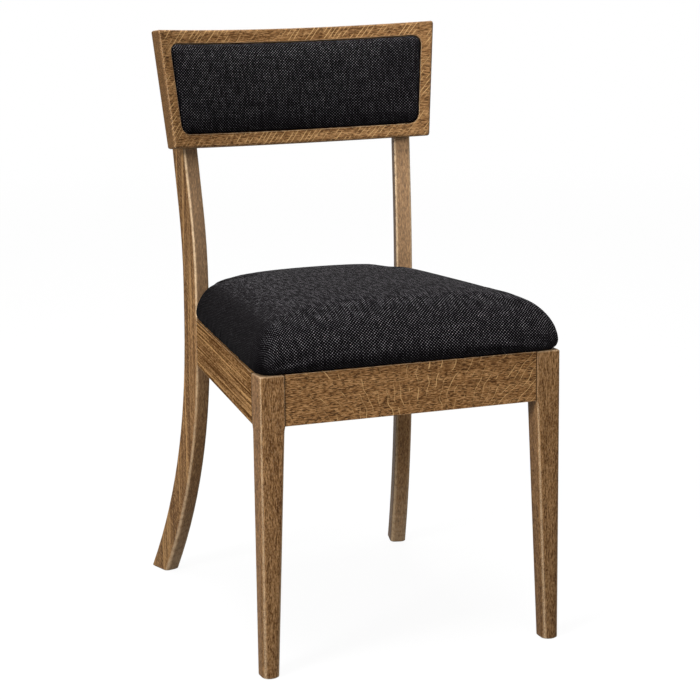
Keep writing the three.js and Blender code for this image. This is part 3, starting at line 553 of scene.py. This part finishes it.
dress_frame()
dress([name for name in nodes if name.startswith("corner_block")], plain_wood("beech blocks", (1, 1, 0), UP))
dress([name for name in nodes if "dowel" in name], plain_wood("beech dowels", ACROSS, UP, 1.5))
dress([name for name in nodes if "screw" in name], steel())
dress(["seat_board", "back_pad_board"], plywood())
dress(["seat_dust_cover"], dust_cloth())
weave = fabric()


# Padded pieces. Lengths here are in millimetres in the CAD's own plan. A piece is drawn as rings, made
# an even mesh, given its cloth places, swelled and refined.

def to_frame(points):
    """Places in metres, moved from the CAD's plan to where the frame stands."""
    places = np.array(points, float) * MM
    places[:, 1] += FRONT
    return places


def closed_rings(rings, clothes):
    """Vertices, faces and cloth places of a closed body through rings, with a fan over each end."""
    count = len(rings[0])
    points = [np.asarray(ring, float) for ring in rings]
    cloth = [np.asarray(part, float) for part in clothes]
    faces = []
    for ring in range(len(rings) - 1):
        for i in range(count):
            a, b = ring * count + i, ring * count + (i + 1) % count
            faces.append((a, b, b + count, a + count))
    hub = len(rings) * count
    points += [points[0].mean(0)[None], points[-1].mean(0)[None]]
    cloth += [cloth[0].mean(0)[None], cloth[-1].mean(0)[None]]
    last = (len(rings) - 1) * count
    for i in range(count):
        j = (i + 1) % count
        faces.append((hub, j, i))
        faces.append((hub + 1, last + i, last + j))
    return np.concatenate(points), faces, np.concatenate(cloth)


def turn_outward(mesh):
    """Turns the faces outward."""
    shape = bmesh.new()
    shape.from_mesh(mesh)
    bmesh.ops.recalc_face_normals(shape, faces=shape.faces)
    shape.to_mesh(mesh)
    shape.free()


def coordinates(mesh, kind="co"):
    """The vertices' places, or another of their vectors, as rows."""
    flat = np.empty(len(mesh.vertices) * 3)
    mesh.vertices.foreach_get(kind, flat)
    return flat.reshape(-1, 3)


def set_coordinates(mesh, places):
    mesh.vertices.foreach_set("co", np.asarray(places, float).ravel())
    mesh.update()


def evaluated(obj):
    """A plain mesh of the object as its modifiers leave it."""
    graph = bpy.context.evaluated_depsgraph_get()
    return bpy.data.meshes.new_from_object(
        obj.evaluated_get(graph), preserve_all_data_layers=True, depsgraph=graph)


def apply_modifier(obj, kind, **settings):
    """Adds one modifier and applies it."""
    modifier = obj.modifiers.new(kind.lower(), kind)
    for name, value in settings.items():
        setattr(modifier, name, value)
    old = obj.data
    mesh = evaluated(obj)
    obj.modifiers.clear()
    obj.data = mesh
    bpy.data.meshes.remove(old)


def mark(obj, name, chosen):
    """Makes a vertex group of the chosen vertices."""
    obj.vertex_groups.new(name=name).add([int(i) for i in np.nonzero(chosen)[0]], 1.0, "REPLACE")


def even_mesh(name, points, faces, size):
    """A new object in the drawn form, meshed evenly."""
    mesh = bpy.data.meshes.new(name)
    mesh.from_pydata([tuple(point) for point in points], [], faces)
    made = add_object(name, mesh)
    turn_outward(mesh)
    apply_modifier(made, "REMESH", mode="VOXEL", voxel_size=size, use_smooth_shade=True)
    return made


def soften(obj, free, rounds):
    """Rounds the kinks off a mesh, where it is free to move."""
    mark(obj, "free", free)
    apply_modifier(obj, "SMOOTH", factor=0.5, iterations=rounds, vertex_group="free")
    obj.vertex_groups.clear()


def take_cloth(obj, points, faces, cloth):
    """Gives each vertex the cloth place of the nearest place on the drawn form."""
    triangles = [(face[0], *face[i:i + 2]) for face in faces for i in range(1, len(face) - 1)]
    tree = BVHTree.FromPolygons([tuple(point) for point in points], triangles)
    values = np.zeros((len(obj.data.vertices), 3))
    for vertex in obj.data.vertices:
        near, _, index, _ = tree.find_nearest(vertex.co)
        corners = triangles[index]
        values[vertex.index] = barycentric_transform(
            near, *(Vector(points[c]) for c in corners), *(Vector(cloth[c]) for c in corners))
    attribute = obj.data.attributes.new("cloth", "FLOAT_VECTOR", "POINT")
    attribute.data.foreach_set("vector", values.ravel())


def swell(obj, held, cap, pressure=4, frames=20):
    """Blows the cloth up from inside, with the held vertices pinned, and moves no vertex by more than cap."""
    mark(obj, "pins", held)
    modifier = obj.modifiers.new("cloth", "CLOTH")
    settings = modifier.settings
    settings.quality = 6
    settings.mass = 0.3
    settings.tension_stiffness = settings.compression_stiffness = 18
    settings.shear_stiffness = 8
    settings.bending_stiffness = 0.4
    settings.vertex_group_mass = "pins"
    settings.pin_stiffness = 1
    settings.use_pressure = True
    settings.uniform_pressure_force = pressure
    settings.effector_weights.gravity = 0
    modifier.collision_settings.use_collision = False
    modifier.point_cache.frame_start = 1
    modifier.point_cache.frame_end = frames
    rest = coordinates(obj.data)
    for step in range(1, frames + 1):
        scene.frame_set(step)
    result = evaluated(obj)
    moved = coordinates(result) - rest
    bpy.data.meshes.remove(result)
    scene.frame_set(1)
    obj.modifiers.clear()
    obj.vertex_groups.clear()
    length = np.linalg.norm(moved, axis=1)
    print(f"{obj.name} swelled by {length.mean() / MM:.2f} mm, at most {length.max() / MM:.2f}")
    moved *= (cap * np.tanh(length / cap) / np.maximum(length, 1e-9))[:, None]
    set_coordinates(obj.data, rest + moved)


def finish_soft(obj, finish, stands_for):
    """Dresses a soft piece, hangs it on the root body, and hides the CAD parts that it stands for."""
    obj.data.materials.clear()
    obj.data.materials.append(finish)
    obj.data.shade_smooth()
    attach(obj, "root")
    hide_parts(*stands_for)


def wavelets(values, seed, period, count=9):
    """A smooth uneven wave along a line, about -1 to 1."""
    spread = np.random.default_rng(seed)
    total = np.zeros_like(values)
    for _ in range(count):
        length = period * spread.uniform(0.6, 1.9)
        total += np.sin(2 * np.pi * values / length + spread.uniform(0, 2 * np.pi))
    return total / math.sqrt(count)


def inside(points, outline):
    """Whether plan points lie inside a closed outline."""
    result = np.zeros(len(points), bool)
    for a, b in zip(outline, np.roll(outline, -1, 0)):
        between = (a[1] > points[:, 1]) != (b[1] > points[:, 1])
        with np.errstate(divide="ignore", invalid="ignore"):
            at = a[0] + (points[:, 1] - a[1]) * (b[0] - a[0]) / (b[1] - a[1])
        result ^= between & (points[:, 0] < at)
    return result


def keep_clear(places, neighbours, gap, search=6 * MM):
    """Moves the places that reach into a neighbour out of it, to a gap from its surface."""
    graph = bpy.context.evaluated_depsgraph_get()
    for name in neighbours:
        tree = BVHTree.FromObject(nodes[name], graph)
        for i, place in enumerate(places):
            near, normal, _, _ = tree.find_nearest(place, search)
            if near is not None and (Vector(place) - near).dot(normal) < gap:
                places[i] = near + normal * gap


# Seat cushion: its outline follows the frame, and is notched round the rear legs
SEAT_FOOT = 430.3                       # height of its foot
OVERHANG, DRAW_IN = 4.6, 2.6            # widest line outside the frame's outer line, and foot inside it
WIDEST = 15                             # widest line above the foot
WAIST_INSET, WAIST_SHARE = 0.6, 0.55    # a line between the two, inside the widest line, and its height
ROLL, RISE, ROLL_POWER = 33.5, 45.5, 1.72       # width, height and form of the rolled edge
REAR_FALL = -0.121                      # how much less it rises at the rear, as a share
FULLER, FULLER_REACH = 0.3, 60          # how much sooner it rises at a rear leg, and how far from it
CROWN, CROWN_ACROSS, CROWN_ALONG = 21, 2.47, 4.19       # further rise of the middle, and its form
CROWN_SHIFT = -0.115                    # its top before the middle, as a share of half the depth
CROWN_RUN, CROWN_RUN_POWER = 1.5 * ROLL, 1.5    # width and form of its run into the rolled edge
FRONT_CORNER, REAR_CORNER, NOTCH_CORNER = 21, 10, 4     # corner radii in plan
NOTCH_GAP = 1.2                         # between the cushion and the rear legs
# Where its rings lie: as shares of the rolled edge, and of the way from there to the middle
ROLL_SHARES = (0, 0.02, 0.06, 0.12, 0.2, 0.3, 0.42, 0.55, 0.7, 0.85, 1)
CROWN_SHARES = np.linspace(0.06, 0.97, 16)
HEM = 19                                # width of the cover's hem under the seat
# Heights above the foot. Inside the hem, what lies under HEM_TOP moves up to HOLLOW. Outside, what lies
# under FOOT_TOP is made flat. The swelling moves nothing that lies under PINNED_BELOW.
HEM_TOP, HOLLOW, FOOT_TOP, PINNED_BELOW = 3.4, 6, 1.2, 7
PUCKERS = ((4, 16, 0.45), (9, 41, 0.35))        # seed, length and height of each of their waves
PUCKER_HEIGHT, PUCKER_SPREAD = 9, 11    # where they are deepest above the foot, and how far they fade out
PUCKER_RADIUS = 230                     # turns an angle round the seat into a length
SEAT_MIDDLE = np.array([0, REAR_RAIL_BACK / 2])
SEAT_HALF_WIDTH = (HALF_FRONT + HALF_REAR) / 2 + OVERHANG
SEAT_HALF_DEPTH = REAR_RAIL_BACK / 2 + OVERHANG


def crossing(p, d, q, e):
    """Where the line through p along d meets the line through q along e."""
    w = q - p
    return p + d * (w[0] * e[1] - w[1] * e[0]) / (d[0] * e[1] - d[1] * e[0])


def rounded_outline(corners, steps, spacing):
    """Points on a closed outline, given as corners with their radii."""
    rounded = []
    for i, (at, radius) in enumerate(corners):
        before, after = corners[i - 1][0] - at, corners[(i + 1) % len(corners)][0] - at
        before, after = before / np.linalg.norm(before), after / np.linalg.norm(after)
        half = math.acos(before @ after) / 2
        middle = before + after
        centre = at + middle / np.linalg.norm(middle) * radius / math.sin(half)
        spoke = at + before * radius / math.tan(half) - centre
        turn = np.sign(before[0] * after[1] - before[1] * after[0]) * (2 * half - math.pi)
        for step in range(steps + 1):
            c, s = math.cos(turn * step / steps), math.sin(turn * step / steps)
            rounded.append(centre + np.array([spoke[0] * c - spoke[1] * s, spoke[0] * s + spoke[1] * c]))
    points = []
    for i, here in enumerate(rounded):
        there = rounded[(i + 1) % len(rounded)]
        parts = max(1, math.ceil(np.linalg.norm(there - here) / spacing))
        points += [here + (there - here) * part / parts for part in range(parts)]
    return np.array(points)


def seat_outline(outside):
    """The seat's outline in plan, a given distance outside the frame."""
    start, end = np.array([HALF_FRONT, LEG_DEPTH]), np.array([HALF_REAR, DEPTH])
    run = (end - start) / np.linalg.norm(end - start)
    inward = np.array([-run[1], run[0]])
    leg_in = np.array([-math.cos(REAR_SPLAY), math.sin(REAR_SPLAY)])
    leg_back = np.array([math.sin(REAR_SPLAY), math.cos(REAR_SPLAY)])
    side = start - inward * outside
    leg_front, leg_inner = end - leg_back * NOTCH_GAP, end + leg_in * (REAR_LEG_WIDTH + NOTCH_GAP)
    x, y = np.array([1.0, 0.0]), np.array([0.0, 1.0])
    corner = np.array([HALF_FRONT + outside, -outside])
    right_side = [
        (corner, FRONT_CORNER),
        (crossing(side, run, corner, y), FRONT_CORNER),
        (crossing(side, run, leg_front, leg_in), REAR_CORNER),
        (crossing(leg_front, leg_in, leg_inner, leg_back), NOTCH_CORNER),
        (crossing(leg_inner, leg_back, np.array([0, REAR_RAIL_BACK + outside]), x), REAR_CORNER),
    ]
    left_side = [(np.array([-at[0], at[1]]), radius) for at, radius in reversed(right_side)]
    return rounded_outline(right_side + left_side, steps=6, spacing=8)


def seat_height(plan, drawn):
    """Height of the seat at places in plan, on a line drawn in from the widest one."""
    along = np.clip((plan[:, 1] - SEAT_MIDDLE[1]) / SEAT_HALF_DEPTH, -1, 1)
    backward = np.clip((plan[:, 1] - LEG_DEPTH) / (DEPTH - LEG_DEPTH), 0, 1)
    edge = HALF_FRONT + (HALF_REAR - HALF_FRONT) * backward
    across = np.clip(np.abs(plan[:, 0]) / (edge + OVERHANG), 0, 1)
    to_leg = np.hypot(np.abs(plan[:, 0]) - (HALF_REAR - REAR_LEG_WIDTH / 2),
                      plan[:, 1] - (DEPTH + LEG_DEPTH / 2))
    reached = drawn / (1 - FULLER * np.exp(-(to_leg / FULLER_REACH) ** 2))
    share = np.minimum(1, reached / ROLL)
    rolled = (1 - (1 - share) ** ROLL_POWER) ** (1 / ROLL_POWER)
    from_peak = along - CROWN_SHIFT
    reach = np.where(from_peak > 0, 1 - CROWN_SHIFT, 1 + CROWN_SHIFT)
    fallen = np.clip(np.abs(from_peak) / reach, 0, 1) ** CROWN_ALONG
    crown = CROWN * (1 - across ** CROWN_ACROSS) * (1 - fallen)
    lifted = 1 - (1 - np.minimum(1, reached / CROWN_RUN)) ** CROWN_RUN_POWER
    return SEAT_FOOT + WIDEST + RISE * (1 + REAR_FALL * along) * rolled + crown * lifted


def seat_cloth(rings, outline, crown_ring, rounds=8):
    """Cloth places: the plan on the crown, and from there down the sides the cloth's own lengths."""
    flat = [ring[:, :2] for ring in rings]
    # Directions along the outline, smoothed in rounds so that the cloth runs round its corners softly
    along = np.roll(outline, -1, 0) - np.roll(outline, 1, 0)
    for _ in range(rounds):
        along = (np.roll(along, 1, 0) + 2 * along + np.roll(along, -1, 0)) / 4
    along /= np.linalg.norm(along, axis=1)[:, None]
    outward = np.column_stack([along[:, 1], -along[:, 0]])
    for i in range(crown_ring - 1, -1, -1):
        step = rings[i] - rings[i + 1]
        sideways = (step[:, :2] * along).sum(1)
        down = np.sqrt(np.maximum(0, (step ** 2).sum(1) - sideways ** 2))
        flat[i] = flat[i + 1] + along * sideways[:, None] + outward * down[:, None]
    return [np.column_stack([part, np.zeros(len(part))]) for part in flat]


def make_seat():
    """The seat's cover and foam as one soft piece."""
    outline = seat_outline(OVERHANG)

    def inset(length):
        shrink = np.array([1 - length / SEAT_HALF_WIDTH, 1 - length / SEAT_HALF_DEPTH])
        return (outline - SEAT_MIDDLE) * shrink + SEAT_MIDDLE

    inward = min(SEAT_HALF_WIDTH, SEAT_HALF_DEPTH)
    drawn_in = [ROLL * share for share in ROLL_SHARES]
    drawn_in += [ROLL + (inward - ROLL) * share for share in CROWN_SHARES]
    sides = [(DRAW_IN + OVERHANG, SEAT_FOOT), (WAIST_INSET, SEAT_FOOT + WIDEST * WAIST_SHARE)]
    rings = [np.column_stack([inset(length), np.full(len(outline), height)]) for length, height in sides]
    rings += [np.column_stack([inset(drawn), seat_height(inset(drawn), drawn)]) for drawn in drawn_in]
    crown_ring = len(sides) + len(ROLL_SHARES) - 1
    points, faces, cloth = closed_rings(rings, seat_cloth(rings, outline, crown_ring))
    points, cloth = to_frame(points), cloth * MM
    seat = even_mesh("seat_cushion", points, faces, size=5 * MM)
    soften(seat, coordinates(seat.data)[:, 2] > (SEAT_FOOT + WIDEST) * MM, rounds=5)
    take_cloth(seat, points, faces, cloth)
    swell(seat, coordinates(seat.data)[:, 2] < (SEAT_FOOT + PINNED_BELOW) * MM, cap=3.5 * MM)
    apply_modifier(seat, "SUBSURF", levels=1, render_levels=1)
    places = coordinates(seat.data)

    # Small puckers where the cover is pulled down over the rails
    around = np.arctan2(places[:, 1] - FRONT - SEAT_MIDDLE[1] * MM, places[:, 0]) * PUCKER_RADIUS
    near_foot = np.exp(-((places[:, 2] / MM - SEAT_FOOT - PUCKER_HEIGHT) / PUCKER_SPREAD) ** 2)
    puckers = sum(wavelets(around, seed, length) * height for seed, length, height in PUCKERS)
    places += coordinates(seat.data, "normal") * (near_foot * puckers)[:, None] * MM

    # The underside is open inside the hem, where the dust cover lies
    hem_line = inset(OVERHANG + HEM) * MM + (0, FRONT)
    inner = (places[:, 2] < (SEAT_FOOT + HEM_TOP) * MM) & inside(places[:, :2], hem_line)
    places[inner, 2] = (SEAT_FOOT + HOLLOW) * MM
    flat = (places[:, 2] < (SEAT_FOOT + FOOT_TOP) * MM) & ~inner
    places[flat, 2] = SEAT_FOOT * MM
    keep_clear(places, ["rear_leg_left", "rear_leg_right"], gap=0.4 * MM)
    set_coordinates(seat.data, places)
    finish_soft(seat, weave, ["seat_cover", "seat_foam"])


make_seat()

# Back pad, in the crest panel's own arc and slope
PAD_GAP = 1.2                           # between the cover and the wall of the field
PAD_FOOT, PAD_EDGE = FIELD_DEPTH - 0.3, 1.9     # its foot and its edge, behind the panel's front face
PAD_ROLL, PAD_RISE, PAD_ROLL_POWER = 11, 7.2, 2.2       # width, height and form of its rolled edge
PAD_CROWN = 4.6                         # further rise of its middle
PAD_CORNER = FIELD_CORNER - PAD_GAP
PAD_STEPS_ALONG, PAD_STEPS_UP, PAD_CORNER_STEPS = 64, 32, 8
PAD_PINNED = 2.6                        # the swelling leaves what is nearer than this to the panel


def crest_front():
    """Where the crest panel's front face stands in the plan, at its lower edge in the middle."""
    lean = math.tan(CREST_TILT) / math.cos(REAR_SPLAY) * (CREST_BOTTOM - (BEND_START + BEND_END) / 2)
    x, y = HALF_REAR + math.sin(REAR_SPLAY) * lean, DEPTH + math.cos(REAR_SPLAY) * lean
    reach = CREST_RADIUS + CREST_THICKNESS
    forward = (CREST_RADIUS - reach * math.cos(math.asin(x / reach))) * math.cos(CREST_TILT)
    return y + CREST_LET_IN + forward


CREST_FRONT = crest_front()


def crest_point(along, up, behind):
    """A place on the crest panel: along its arc, up its slope and behind its front face."""
    angle, reach = along / CREST_RADIUS, CREST_RADIUS + behind
    forward = CREST_RADIUS - reach * math.cos(angle)
    return (
        reach * math.sin(angle),
        CREST_FRONT + up * math.sin(CREST_TILT) - forward * math.cos(CREST_TILT),
        CREST_BOTTOM + up * math.cos(CREST_TILT) + forward * math.sin(CREST_TILT),
    )


def make_pad():
    """The back pad's cover and foam as one soft piece."""
    half_height = CREST_HEIGHT / 2 - FIELD_MARGIN_UP - PAD_GAP
    centre = CREST_HEIGHT / 2

    def half_length(up):
        widening = (CREST_HALF_HIGH - CREST_HALF_LOW) * up / CREST_HEIGHT
        return CREST_HALF_LOW + widening - FIELD_MARGIN_END - PAD_GAP

    def roll(distance):
        return (1 - (1 - min(1, distance / PAD_ROLL)) ** PAD_ROLL_POWER) ** (1 / PAD_ROLL_POWER)

    # Stations are shares of the half length, and how far they lie past the start of the round corners
    quarter = [PAD_CORNER * math.sin(math.pi / 2 * (PAD_CORNER_STEPS - i) / PAD_CORNER_STEPS)
               for i in range(PAD_CORNER_STEPS)]
    stations = [(-1, -past) for past in quarter]
    stations += [(2 * i / PAD_STEPS_ALONG - 1, 0) for i in range(PAD_STEPS_ALONG + 1)]
    stations += [(1, past) for past in reversed(quarter)]
    shares = [math.sin(angle) for angle in np.linspace(-math.pi / 2, math.pi / 2, PAD_STEPS_UP + 1)]
    rings, clothes = [], []
    for share, past in stations:
        cut = PAD_CORNER - math.sqrt(max(0, PAD_CORNER ** 2 - past ** 2))
        from_end = PAD_CORNER - abs(past) + (1 - abs(share)) * (half_length(centre) - PAD_CORNER)
        reach = half_height - cut
        section = []
        for s in shares:
            edge = roll(from_end) * roll(reach * (1 - abs(s)))
            bulge = PAD_CROWN * (1 - share ** 2) * (1 - s ** 2)
            section.append((centre + reach * s, PAD_EDGE - edge * (PAD_RISE + bulge)))
        section += [(centre + reach, PAD_FOOT), (centre - reach, PAD_FOOT)]
        along = [share * (half_length(up) - PAD_CORNER) + past for up, _ in section]
        ring = np.array([crest_point(place, up, behind) for place, (up, behind) in zip(along, section)])
        steps = np.linalg.norm(np.diff(ring, axis=0), axis=1)
        run = np.concatenate([[0], np.cumsum(steps)])
        run = run - run[PAD_STEPS_UP // 2] + centre
        run[-1] = run[0] - steps[-2]
        rings.append(ring)
        clothes.append(np.column_stack([along, run, np.zeros(len(run))]))
    points, faces, cloth = closed_rings(rings, clothes)
    points, cloth = to_frame(points), cloth * MM
    pad = even_mesh("back_pad", points, faces, size=3.5 * MM)
    take_cloth(pad, points, faces, cloth)
    tree = BVHTree.FromObject(nodes["crest_panel"], bpy.context.evaluated_depsgraph_get())
    near = np.array([tree.find_nearest(place)[3] for place in coordinates(pad.data)])
    swell(pad, near < PAD_PINNED * MM, cap=1.5 * MM)
    apply_modifier(pad, "SUBSURF", levels=1, render_levels=1)
    finish_soft(pad, weave, ["back_pad_cover", "back_pad_foam"])


make_pad()

# Stage: a white floor that keeps the chair's shadow, and soft light
FLOOR_REACH = 60                        # metres from the middle to each side
LAMP_AIM = (0, 0, 0.5)


def seen(g):
    """One for the rays that show a thing to the eye, zero for those that only light something."""
    rays = g.add("ShaderNodeLightPath").outputs
    direct = g.math("MAXIMUM", rays["Is Camera Ray"], rays["Is Glossy Ray"])
    return g.math("MAXIMUM", direct, rays["Is Transmission Ray"])


def make_floor():
    """A white floor that shows the shadow near the chair, and runs into the white round it."""
    mesh = bpy.data.meshes.new("floor")
    corners = [(-1, -1), (1, -1), (1, 1), (-1, 1)]
    mesh.from_pydata([(x * FLOOR_REACH, y * FLOOR_REACH, 0) for x, y in corners], [], [(0, 1, 2, 3)])
    floor = add_object("floor", mesh)
    made, g, shader = material("floor")
    g.tree.nodes.remove(shader)
    looked_at = seen(g)
    white = g.add("ShaderNodeEmission", {"Color": (1, 1, 1, 1), "Strength": 1.0}).outputs[0]
    matt = g.add("ShaderNodeBsdfDiffuse", {"Color": g.plus(g.times(looked_at, 0.75), 0.25)}).outputs[0]
    far = g.add("ShaderNodeVectorMath", {0: g.place()}, operation="LENGTH").outputs["Value"]
    share = g.times(looked_at, g.step(far, 1.5, 6.0, 0.93, 1.0))
    mixed = g.add("ShaderNodeMixShader", {0: share, 1: matt, 2: white})
    g.feed(g.tree.nodes["Material Output"].inputs["Surface"], mixed.outputs[0])
    mesh.materials.append(made)


def make_world():
    """White to look at, but a weak light."""
    world = bpy.data.worlds.new("studio")
    scene.world = world
    world.use_nodes = True
    g = Graph(world.node_tree)
    background = world.node_tree.nodes["Background"]
    background.inputs["Color"].default_value = (1, 1, 1, 1)
    g.feed(background.inputs["Strength"], g.step(seen(g), 0.0, 1.0, 0.22, 1.0))


def lamp(name, place, size, watts):
    """A square lamp that is turned to the chair."""
    data = bpy.data.lights.new(name, "AREA")
    data.shape = "SQUARE"
    data.size = size
    data.energy = watts
    light = add_object(name, data)
    light.location = place
    light.rotation_euler = (Vector(LAMP_AIM) - Vector(place)).to_track_quat("-Z", "Y").to_euler()


make_floor()
make_world()
lamp("key", (-3.5, -2.0, 2.5), size=1.2, watts=148)
lamp("top", (-0.3, -0.6, 3.6), size=1.8, watts=115)
lamp("fill", (-0.4, -4.2, 1.4), size=2.0, watts=29)
lamp("rim", (1.2, 3.2, 2.6), size=1.6, watts=37)

scene.view_settings.view_transform = "Standard"
